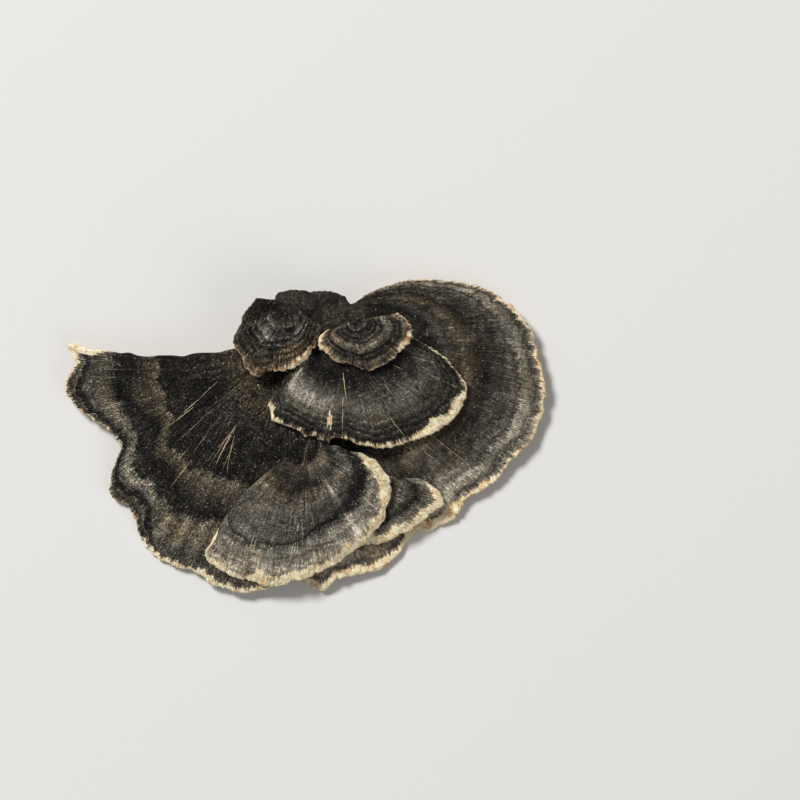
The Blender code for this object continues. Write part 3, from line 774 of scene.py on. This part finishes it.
def under_faces(rows, columns, first):
    """Faces of the coarse underside, on whose outer edges every point of the top's edge is used.

    The underside's own points are numbered from first on. Its outer columns and last row are the top's.
    """
    step = UNDER_STEP
    top = np.arange(rows * columns).reshape(rows, columns)
    wide = columns // step + 1
    own = np.arange(rows // step + 1)[:, None] * wide + np.arange(wide) + first
    own[1:, 0] = top[step::step, 0]
    own[1:, -1] = top[step::step, -1]
    own[-1] = top[-1, ::step]
    own[0, 0], own[0, -1] = top[0, 0], top[0, -1]
    faces = []
    for i in range(own.shape[0] - 1):
        for j in range(own.shape[1] - 1):
            loop = [own[i, j]]
            if j == 0:
                loop += list(top[i * step + 1:(i + 1) * step, 0])
            loop.append(own[i + 1, j])
            if i == own.shape[0] - 2:
                loop += list(top[-1, j * step + 1:(j + 1) * step])
            loop.append(own[i + 1, j + 1])
            if j == own.shape[1] - 2:
                loop += list(top[i * step + 1:(i + 1) * step, -1][::-1])
            loop.append(own[i, j + 1])
            faces.append([int(corner) for corner in loop])
    for j in range(own.shape[1] - 1):
        back = [own[0, j], own[0, j + 1], *top[0, j * step:(j + 1) * step + 1][::-1]]
        faces.append(list(dict.fromkeys(int(corner) for corner in back)))
    return faces


def new_mesh(name, points, faces, attributes):
    """A mesh object from points in mm, with a number for each point under each attribute's name."""
    mesh = bpy.data.meshes.new(name)
    mesh.from_pydata((points * MM).tolist(), [], faces)
    mesh.validate()
    mesh.shade_smooth()
    for label, values in attributes.items():
        layer = mesh.attributes.new(label, "FLOAT", "POINT")
        layer.data.foreach_set("value", np.asarray(values, np.float32).ravel())
    thing = bpy.data.objects.new(name, mesh)
    bpy.context.scene.collection.objects.link(thing)
    return thing


def add_cap(surface, look):
    """The cap itself, fine on top and coarser below, in place of its solid."""
    cap = surface.cap
    rows, columns = surface.growth.shape
    coarse = (slice(None, None, UNDER_STEP), slice(None, None, UNDER_STEP))
    points = np.concatenate([surface.top.reshape(-1, 3), surface.under[coarse].reshape(-1, 3)])
    faces = quads(rows, columns).tolist() + under_faces(rows, columns, rows * columns)
    used = np.zeros(len(points), bool)
    for face in faces:
        used[face] = True
    renumber = np.cumsum(used) - 1
    faces = [[int(renumber[corner]) for corner in face] for face in faces]
    attributes = {
        name: np.concatenate([grid.reshape(-1), grid[coarse].reshape(-1)])[used]
        for name, grid in surface.attributes().items()
    }
    attributes["under"] = np.append(np.zeros(rows * columns), surface.pored[coarse])[used]
    thing = new_mesh(cap.name + "_cap", points[used], faces, attributes)
    thing.data.materials.append(look)
    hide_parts(cap.name)
    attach(thing, "root")


def strands(paths, breadths):
    """Tapering three-sided strands, closed. Paths has a row of points for each, and breadths a number."""
    count, steps, _ = paths.shape
    along = np.gradient(paths, axis=1)
    along /= np.linalg.norm(along, axis=2, keepdims=True)
    aside = np.cross(along, (0, 0, 1.0))
    aside /= np.linalg.norm(aside, axis=2, keepdims=True)
    up = np.cross(aside, along)
    taper = np.sin(np.pi * np.linspace(*TAPER, steps))[None, :, None] * breadths[:, None, None] / 2
    rings = [
        paths + taper * (np.cos(turn) * aside + np.sin(turn) * up)
        for turn in np.pi * np.array([1 / 2, 7 / 6, 11 / 6])
    ]
    points = np.stack(rings, axis=2).reshape(count, steps * CORNERS, 3)
    walls = []
    for step in range(steps - 1):
        for corner in range(CORNERS):
            a, b = CORNERS * step + corner, CORNERS * step + (corner + 1) % CORNERS
            walls.append((a, b, b + CORNERS, a + CORNERS))
    last = CORNERS * (steps - 1)
    ends = np.array([(0, 2, 1), (last, last + 1, last + 2)])
    offset = np.arange(count)[:, None, None] * steps * CORNERS
    return points.reshape(-1, 3), (np.array(walls) + offset).reshape(-1, 4), (ends + offset).reshape(-1, 3)


def round_strands(across, out):
    """The places of the strands' points, from those of their middle lines."""
    return np.repeat(np.stack([across.ravel(), out.ravel()]), CORNERS, axis=1)


def gather(surface, meshes):
    """One mesh of several, each with its points, faces, places (across and out) and tints."""
    points = np.concatenate([mesh[0] for mesh in meshes])
    faces, first = [], 0
    for own, sets, _, _ in meshes:
        for some in sets:
            faces += (some + first).tolist()
        first += len(own)
    at = np.concatenate([mesh[2] for mesh in meshes], axis=1)
    attributes = {name: surface.read(grid, *at) for name, grid in surface.attributes().items()}
    attributes["tint"] = np.concatenate([mesh[3] for mesh in meshes])
    return points, faces, attributes


def felt(surface, rng):
    """Short bent fibres that lie all over the cap."""
    count = int(FIBRES_PER_MM * surface.run * surface.length.mean() / 2)
    across = rng.uniform(*INNER_ACROSS, count)
    out = np.sqrt(rng.uniform(0.03, 0.985, count))
    length = rng.uniform(*FIBRE_LENGTHS, count)
    turn = rng.normal(0, FIBRE_TURN, count)
    bend = rng.normal(0, FIBRE_BEND, count)
    lift = rng.uniform(*FIBRE_LIFTS, count)
    paths, places = [], []
    for step in (0.0, 0.5, 1.0):
        at_out = np.clip(out + step * length * np.cos(turn) / surface.length.mean(), LEAST_OUT, 1)
        sideways = step * length * np.sin(turn + bend * step) / surface.run / np.clip(at_out, 0.3, 1)
        at_across = np.clip(across + sideways, 0.001, 0.999)
        places.append((at_across, at_out))
        height = LIE + lift * np.sin(np.pi * (0.1 + 0.8 * step))
        paths.append(surface.above(at_across, at_out, height[:, None]))
    points, *faces = strands(np.stack(paths, axis=1), rng.uniform(*FIBRE_BREADTHS, count))
    at = np.repeat(np.array(places).transpose(1, 2, 0).reshape(2, -1), CORNERS, axis=1)
    tints, shares = zip(*FIBRE_TINTS)
    return points, faces, at, np.repeat(rng.choice(tints, count, p=shares), len(paths) * CORNERS)


def scratches(surface, rng):
    """Long straight fibres, flat in the felt."""
    count, steps = surface.cap.scratches, 6
    across = rng.uniform(0.02, 0.98, count)
    out = rng.uniform(0.2, 0.85, count)
    length = rng.uniform(*SCRATCH_LENGTHS, count) / surface.length.mean()
    turn = rng.normal(0, 0.006, count)
    u = np.linspace(0, 1, steps)
    across = across[:, None] + turn[:, None] * u
    out = np.minimum(out[:, None] + length[:, None] * u, 0.97)
    points, *faces = strands(surface.above(across, out, 0.03), rng.uniform(*SCRATCH_BREADTHS, count))
    tint = np.repeat(rng.choice(SCRATCH_TINTS, count), steps * CORNERS)
    return points, faces, round_strands(across, out), tint


def fringe(surface, rng):
    """Fibres that stick out at the margin."""
    count = int(FRINGE_PER_MM * surface.run)
    across = rng.uniform(*INNER_ACROSS, count)
    column = np.interp(across, surface.across, np.arange(len(surface.across))).astype(int)
    start = (surface.top[-1, column] + surface.under[-1, column]) / 2
    away = start - surface.top[-8, column]
    away[:, 2] *= 0.3
    away /= np.linalg.norm(away, axis=1, keepdims=True)
    bent = away + rng.normal(0, 0.35, away.shape)
    length = rng.uniform(*FRINGE_LENGTHS, count)[:, None]
    half_way = start + 0.4 * length * away
    paths = np.stack([start - 0.2 * away, half_way, half_way + 0.6 * length * bent], axis=1)
    points, *faces = strands(paths, rng.uniform(*FRINGE_BREADTHS, count))
    at = np.repeat(np.stack([across, np.full(count, 0.995)]), 3 * CORNERS, axis=1)
    return points, faces, at, np.repeat(rng.choice(FRINGE_TINTS, count), 3 * CORNERS)


def streaks(surface, rng):
    """Pale fibres torn loose, flat on the cap."""
    steps = 14
    places = np.array(surface.cap.streaks)
    u = np.linspace(0, 1, steps)
    across = places[:, :1] + (places[:, 2:3] - places[:, :1]) * u
    out = places[:, 1:2] + (places[:, 3:4] - places[:, 1:2]) * u
    across = across + np.cumsum(rng.normal(0, 0.05, across.shape), axis=1) / surface.run
    normal = surface.read(surface.normal, across, out)
    paths = surface.read(surface.top, across, out)
    points, *faces = strands(paths, places[:, 4])
    base = np.repeat(paths.reshape(-1, 3), CORNERS, axis=0)
    flat = np.minimum(1, STREAK_THICKNESS / np.repeat(places[:, 4], CORNERS * steps))
    up = np.repeat(normal.reshape(-1, 3), CORNERS, axis=0)
    height = ((points - base) * up).sum(axis=1)
    points = points + ((flat - 1) * height + 0.05)[:, None] * up
    return points, faces, round_strands(across, out), np.full(len(points), LOOSE)


def crumbs(surface, rng):
    """Pale grains, those that were seen one by one and others at random."""
    count = int(surface.run * surface.length.mean() / CRUMB_SHARE)
    random = [
        rng.uniform(0.02, 0.98, count),
        np.sqrt(rng.uniform(0.05, 0.95, count)),
        rng.uniform(*CRUMB_SIZES, count),
    ]
    places = np.concatenate([np.stack(random).T, np.array(surface.cap.crumbs).reshape(-1, 3)])
    across, out, size = places.T
    middle = surface.above(across, out, 0.25 * size[:, None])
    ball = np.array([(1, 0, 0), (0, 1, 0), (-1, 0, 0), (0, -1, 0), (0, 0, 1), (0, 0, -1)])
    jitter = rng.uniform(0.6, 1.3, (len(size), len(ball), 1))
    points = middle[:, None] + ball * jitter * size[:, None, None] / 2
    faces = [(0, 1, 4), (1, 2, 4), (2, 3, 4), (3, 0, 4), (1, 0, 5), (2, 1, 5), (3, 2, 5), (0, 3, 5)]
    faces = (np.array(faces) + len(ball) * np.arange(len(size))[:, None, None]).reshape(-1, 3)
    at = np.repeat(np.stack([across, out]), len(ball), axis=1)
    tint = np.append(rng.choice(CRUMB_TINTS, count), np.full(len(size) - count, LOOSE))
    return points.reshape(-1, 3), [faces], at, np.repeat(tint, len(ball))


def add_down(surface, look):
    """The felt of short fibres on a cap, its fringe, the fibres torn loose and the crumbs."""
    rng = np.random.default_rng(surface.cap.seed + 50)
    makers = [felt, scratches, fringe, crumbs] + [streaks] * bool(surface.cap.streaks)
    points, faces, attributes = gather(surface, [make(surface, rng) for make in makers])
    thing = new_mesh(surface.cap.name + "_felt", points, faces, attributes)
    thing.data.materials.append(look)
    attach(thing, "root")


class Tree:
    """A material's nodes, added so that a formula reads like one.

    A value may be a number, a colour, the name of one in the palette, or a socket.
    """

    def __init__(self, name):
        self.material = bpy.data.materials.new(name)
        self.material.use_nodes = True
        self.shader = self.material.node_tree.nodes["Principled BSDF"]

    def node(self, kind, *values, output=0, **settings):
        made = self.material.node_tree.nodes.new("ShaderNode" + kind)
        for label, setting in settings.items():
            setattr(made, label, setting)
        for value, socket in zip(values, made.inputs):
            self.put(value, socket)
        return made.outputs[output]

    def put(self, value, socket):
        if isinstance(value, bpy.types.NodeSocket):
            self.material.node_tree.links.new(value, socket)
        elif value is not None:
            socket.default_value = PALETTE[value] if isinstance(value, str) else value

    def attribute(self, name):
        return self.node("Attribute", output=2, attribute_name=name)

    def here(self):
        """The place on the object, in mm."""
        return self.shade(self.node("TexCoord", output=3), 1 / MM)

    def math(self, operation, *values):
        return self.node("Math", *values, operation=operation)

    def plus(self, first, second):
        return self.math("ADD", first, second)

    def minus(self, first, second):
        return self.math("SUBTRACT", first, second)

    def times(self, first, second):
        return self.math("MULTIPLY", first, second)

    def rise(self, value, low, high, to_low=0.0, to_high=1.0):
        """Values from low to high turned evenly into those from to_low to to_high."""
        return self.node("MapRange", value, low, high, to_low, to_high, interpolation_type="SMOOTHSTEP")

    def place(self, x, y, z=0.0):
        return self.node("CombineXYZ", x, y, z)

    def noise(self, place, scale, detail=2.0, distortion=0.0):
        factor = self.node("TexNoise", place, None, scale, detail)
        factor.node.inputs["Distortion"].default_value = distortion
        return factor

    def stretched(self, place, scales, detail, distortion=0.0):
        """Noise with a scale of its own along each axis."""
        place = self.node("VectorMath", place, scales, operation="MULTIPLY")
        return self.noise(place, 1.0, detail, distortion)

    def weighed(self, *parts):
        """The sum of noises, each measured from its middle and times its weight."""
        total = 0.0
        for value, weight in parts:
            total = self.plus(total, self.times(self.minus(value, 0.5), weight))
        return total

    def mix(self, share, first, second):
        made = self.material.node_tree.nodes.new("ShaderNodeMix")
        made.data_type = "RGBA"
        for value, socket in zip((share, first, second), (made.inputs[0], made.inputs[6], made.inputs[7])):
            self.put(value, socket)
        return made.outputs[2]

    def shade(self, colour, amount):
        """A colour or a place times a factor."""
        return self.node("VectorMath", colour, None, None, amount, operation="SCALE")

    def add(self, first, second):
        """The sum of two colours."""
        return self.node("VectorMath", first, second, operation="ADD")

    def ramp(self, share, stops):
        made = self.material.node_tree.nodes.new("ShaderNodeValToRGB")
        self.put(share, made.inputs[0])
        elements = made.color_ramp.elements
        while len(elements) < len(stops):
            elements.new(1.0)
        for element, stop in zip(elements, stops):
            element.position = stop[0]
            element.color = PALETTE[stop[1]]
        return made.outputs[0]

    def finish(self, colour, height, depth, roughness):
        """The material, with a colour in even steps of brightness and a bump of this depth in mm."""
        bump = self.material.node_tree.nodes.new("ShaderNodeBump")
        bump.inputs["Distance"].default_value = depth * MM
        self.put(height, bump.inputs["Height"])
        self.put(bump.outputs[0], self.shader.inputs["Normal"])
        colour = self.node("VectorMath", colour, (PALEST,) * 3, operation="MINIMUM")
        colour = self.node("VectorMath", colour, (DARKEST,) * 3, operation="MAXIMUM")
        self.put(self.node("Gamma", colour, EVEN), self.shader.inputs["Base Color"])
        self.shader.inputs["Roughness"].default_value = roughness
        self.shader.inputs["Specular IOR Level"].default_value = 0.2
        return self.material


def cap_material(cap):
    """Zoned, gritty felt above with a cream margin, and pores below."""
    tree = Tree(cap.name + "_look")
    at = SimpleNamespace(**{name: tree.attribute(name) for name in (*ATTRIBUTES, "under", "tint")})
    at.here = tree.here()
    noises = felt_noises(tree, cap, at)
    grain = felt_grain(tree, cap, noises)
    depth = tree.minus(at.pale, at.rim)
    depth = tree.plus(depth, tree.weighed((noises.threads, 2.4), (noises.grit, 1.0), (noises.blotch, 2.6)))
    creamy = tree.rise(depth, -0.35, 0.3)

    colour = felt_colour(tree, cap, at, noises, grain)
    colour = tree.mix(tree.rise(depth, -1.4, -0.2, 0.0, 0.25), colour, "bloom")
    colour = tree.mix(creamy, colour, cream_colour(tree, cap, at, depth, grain))
    colour = tree.mix(at.under, colour, pore_colour(tree, at))
    tint = tree.times(tree.math("MINIMUM", at.tint, 3.0), tree.rise(creamy, 0.0, 1.0, 1.0, 0.35))
    colour = tree.shade(colour, tree.plus(1.0, tint))
    colour = tree.mix(tree.rise(at.tint, 5.0, 8.0), colour, "straw")
    height = tree.weighed((noises.threads, 0.8), (noises.cells, 0.3), (noises.grit, 0.8))
    return tree.finish(colour, tree.plus(height, tree.times(noises.curls, 0.4)), FELT_BUMP, FELT_ROUGHNESS)


def felt_noises(tree, cap, at):
    """The noises that a cap's colours, bumps and cream margin share."""

    def streaky(breadth, length, detail):
        """Noise drawn out from the root, about as fine at half the radius as at the margin."""
        along = tree.times(at.radius, 1 / length)
        outer = tree.place(tree.times(at.around, 1 / breadth), along, cap.seed)
        inner = tree.place(tree.times(at.around, 0.45 / breadth), along, 0.5)
        inner, outer = (tree.noise(place, 1.0, detail, 0.6) for place in (inner, outer))
        return tree.node("Mix", tree.rise(at.growth, 0.45, 0.65), None, inner, outer, data_type="FLOAT")

    ring_place = tree.place(tree.times(at.around, 1 / 9), tree.times(at.radius, 1 / RING_BREADTH), cap.seed)
    # The curls are pale winding hairs: partly their own pale colour, partly a painted glint of light on
    # them.
    winding = tree.math("ABSOLUTE", tree.minus(tree.noise(at.here, 1.1, 1.0, 1.6), 0.5))
    woolly = tree.times(tree.rise(at.growth, 0.35, 0.65), cap.curly)
    return SimpleNamespace(
        threads=streaky(THREAD_BREADTH, 4.0, 1.5),
        hairs=tree.rise(streaky(HAIR_BREADTH, 12.0, 1.0), 0.60, 0.70),
        rings=tree.noise(ring_place, 1.0, 1.0),
        cells=tree.node("SeparateXYZ", tree.node("TexVoronoi", at.here, None, CELLS_PER_MM, output=1)),
        grit=tree.noise(at.here, GRIT_PER_MM, 1.0, 0.6),
        blotch=tree.noise(at.here, BLOTCHES_PER_MM, 2.0),
        curls=tree.times(tree.rise(winding, 0.0, 0.07, 1.0, 0.0), woolly),
    )


def felt_grain(tree, cap, noises):
    """How much lighter than its zone the felt is from place to place, or darker below 0."""
    grain = tree.weighed(
        (noises.threads, 2.6), (noises.rings, 1.7 * cap.ringed), (noises.cells, 1.5 * cap.gritty),
        (noises.grit, 4.0 * cap.gritty), (noises.blotch, 1.3),
    )
    grain = tree.minus(tree.math("POWER", 2.0, grain), 1.0)
    grain = tree.plus(grain, tree.times(noises.hairs, 0.8 * cap.gritty))
    # The curls lighten the felt: pale hairs with a painted glint on them.
    return tree.plus(grain, tree.times(tree.minus(noises.curls, 0.12), 0.9))


def felt_colour(tree, cap, at, noises, grain):
    """The zones' colours in their patches, with the grain and pale specks and dots on them."""
    drift = tree.weighed((noises.threads, 0.05), (noises.grit, 0.02), (noises.blotch, 0.04))
    colour = tree.ramp(tree.plus(at.zone, drift), cap.zones)
    paler = tree.plus(1.0, tree.math("MAXIMUM", at.paler, -0.7))
    colour = tree.shade(colour, tree.math("POWER", paler, 1 / EVEN))
    brown = tree.node("VectorMath", colour, BROWNING, operation="MULTIPLY")
    colour = tree.mix(tree.rise(at.browner, 0.0, 1.0, 0.0, 0.6), colour, brown)
    strength = tree.node("VectorMath", colour, GRAIN_SHARE, GRAIN_LEAST, operation="MULTIPLY_ADD")
    colour = tree.add(tree.shade(strength, grain), colour)

    specks = tree.rise(tree.node("TexVoronoi", at.here, None, SPECKS_PER_MM), 0.10, 0.22, 0.95, 0.0)
    chosen = tree.rise(tree.noise(at.here, 0.8, 0.0), 0.54, 0.60)
    colour = tree.mix(tree.times(specks, chosen), colour, "bloom")
    dots = tree.node("TexVoronoi", at.here, None, DOTS_PER_MM)
    dots = tree.rise(dots, 0.08, 0.30, 0.27 * cap.gritty, 0.0)
    dots = tree.times(dots, tree.rise(tree.noise(at.here, 1.1, 1.0), 0.48, 0.60))
    return tree.add(colour, tree.shade(PALETTE["bloom"][:3], dots))


def cream_colour(tree, cap, at, depth, grain):
    """The margin's cream and straw, with rusty patches and a rusty line where it starts."""
    mottle = tree.noise(at.here, 1.0, 3.0)
    colour = tree.mix(tree.rise(mottle, 0.36, 0.68), "cream", "straw")
    rusting = tree.rise(tree.noise(at.here, 0.42, 3.0), 0.52, 0.68, 0.0, cap.rusty)
    line = tree.times(tree.rise(depth, -0.5, 0.0), tree.rise(depth, 0.1, 0.7, 1.0, 0.0))
    line = tree.times(line, tree.rise(mottle, 0.42, 0.58, 0.0, 0.9 * cap.rusty))
    colour = tree.mix(tree.math("MAXIMUM", rusting, line), colour, "rust")
    return tree.shade(colour, tree.plus(1.0, tree.times(grain, 0.13)))


def pore_colour(tree, at):
    """The underside, straw and tan with a dark dot of painted shade for each pore's hole."""
    # Painted shade: each pore's hole is shown as a darker dot, not as a hollow.
    pores = tree.rise(tree.node("TexVoronoi", at.here, None, PORES_PER_MM), 0.0, 0.45, 0.62, 1.0)
    colour = tree.mix(tree.rise(tree.noise(at.here, 0.12, 4.0), 0.3, 0.8, 0.0, 0.5), "straw", "tan")
    colour = tree.mix(tree.rise(at.growth, 0.1, 0.6, 0.6, 0.0), colour, "tan")
    return tree.shade(colour, pores)


def add_base():
    """The torn tissue that the caps grew from, cut flat below."""
    thing = bpy.data.objects.new("base_tissue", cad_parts["base"].data.copy())
    bpy.context.scene.collection.objects.link(thing)
    remesh = thing.modifiers.new("Fine", "REMESH")
    remesh.mode = "VOXEL"
    remesh.voxel_size = BASE_GRAIN * MM
    fine = bpy.data.meshes.new_from_object(thing.evaluated_get(bpy.context.evaluated_depsgraph_get()))
    thing.modifiers.clear()
    thing.data = fine
    tear(fine)
    fine.materials.clear()
    fine.materials.append(base_material())
    fine.shade_smooth()
    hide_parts("base")
    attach(thing, "root")


def tear(mesh):
    """Pushes a mesh's points out and in, as lumps and torn strips that end at the flat cut."""
    points = np.empty(len(mesh.vertices) * 3)
    normals = np.empty(len(mesh.vertices) * 3, np.float32)
    mesh.vertices.foreach_get("co", points)
    mesh.vertex_normals.foreach_get("vector", normals)
    points = points.reshape(-1, 3) / MM
    x, y, z = points.T
    lumps = rough(x / 4 + z / 9, y / 4 - z / 8, 91) * LUMP_HEIGHT
    strips = (1 - 2 * abs(rough((x + y) / 2.4 + z / 9, (x - y) / 2.4 + z / 7, 95, 2))) * STRIP_HEIGHT
    push = (lumps + strips) * smooth(z / 0.8)
    points = points + normals.reshape(-1, 3) * push[:, None]
    points[:, 2] = np.maximum(points[:, 2], CUT_HEIGHT)
    mesh.vertices.foreach_set("co", (points * MM).ravel())
    mesh.update()


def base_material():
    """Dark torn tissue, paler low down and darkened towards its top by painted shade, with pale flesh at
    the cut.
    """
    tree = Tree("torn_tissue_look")
    here = tree.here()
    height = tree.node("SeparateXYZ", here, output=2)
    strips = tree.stretched(here, (1.6, 1.6, 0.35), 4.0)
    torn = tree.stretched(here, (2.6, 2.6, 0.5), 2.0, 0.8)
    colour = tree.mix(tree.rise(strips, 0.35, 0.62), "soot", "drab")
    # The tan flecks thin out towards the top: partly the tissue's own colour, partly painted shade of the
    # hollow between the upper caps.
    tan_flecks_and_shade = tree.times(tree.rise(torn, 0.50, 0.64), tree.rise(height, 3.0, 9.0, 0.9, 0.1))
    colour = tree.mix(tan_flecks_and_shade, colour, "tan")
    colour = tree.mix(tree.rise(tree.noise(here, 0.3, 3.0), 0.42, 0.64, 0.0, 0.8), colour, "coal")
    grain = tree.weighed((tree.noise(here, 1.6, 2.0), 2.6), (torn, 1.4))
    colour = tree.shade(colour, tree.math("POWER", 2.0, grain))
    # Painted shade: the top of the base is darkened towards coal, as the shadowed hollow between the upper
    # caps.
    colour = tree.mix(tree.rise(height, 7.0, 13.0, 0.0, 0.45), colour, "coal")
    flesh = tree.mix(tree.rise(tree.noise(here, 0.8, 4.0), 0.3, 0.7), "straw", "tan")
    colour = tree.mix(tree.rise(height, 0.1, 0.5, 1.0, 0.0), colour, flesh)
    return tree.finish(colour, strips, BASE_BUMP, BASE_ROUGHNESS)


def add_floor():
    bpy.ops.mesh.primitive_plane_add(size=FLOOR_SIZE)
    floor = bpy.context.object
    floor.name = "floor"
    paint = bpy.data.materials.new("floor_paint")
    paint.use_nodes = True
    shader = paint.node_tree.nodes["Principled BSDF"]
    shader.inputs["Base Color"].default_value = FLOOR_COLOUR
    shader.inputs["Roughness"].default_value = 0.9
    floor.data.materials.append(paint)


def add_light(name, place, size, power):
    """A round soft light that shines at the middle of the object."""
    light = bpy.data.lights.new(name, "AREA")
    light.shape = "DISK"
    light.size = size
    light.energy = power
    holder = bpy.data.objects.new(name, light)
    holder.location = place
    holder.rotation_euler = (Vector(LIT) - Vector(place)).to_track_quat("-Z", "Y").to_euler()
    bpy.context.scene.collection.objects.link(holder)


def add_world():
    world = bpy.data.worlds.new("studio")
    world.use_nodes = True
    background = world.node_tree.nodes["Background"]
    background.inputs["Color"].default_value = (1.0, 1.0, 1.0, 1)
    background.inputs["Strength"].default_value = SKY_STRENGTH
    bpy.context.scene.world = world


def add_camera():
    """A camera straight above, high enough that the view hardly narrows with depth."""
    camera = bpy.data.cameras.new("camera")
    camera.lens = CAMERA_HEIGHT / VIEW_SIDE * camera.sensor_width
    camera.clip_end = 10
    holder = bpy.data.objects.new("camera", camera)
    x, y = VIEW_MIDDLE
    holder.location = (x * MM, y * MM, (CAMERA_HEIGHT + VIEW_LEVEL) * MM)
    bpy.context.scene.collection.objects.link(holder)
    bpy.context.scene.camera = holder


def main():
    surfaces = {}
    for cap in CAPS:
        look = cap_material(cap)
        surfaces[cap.name] = Surface(cap, surfaces)
        add_cap(surfaces[cap.name], look)
        add_down(surfaces[cap.name], look)
    add_base()
    add_floor()
    for name, (place, size, power) in LIGHTS.items():
        add_light(name, place, size, power)
    add_world()
    add_camera()
    bpy.context.scene.view_settings.view_transform = "Standard"


main()
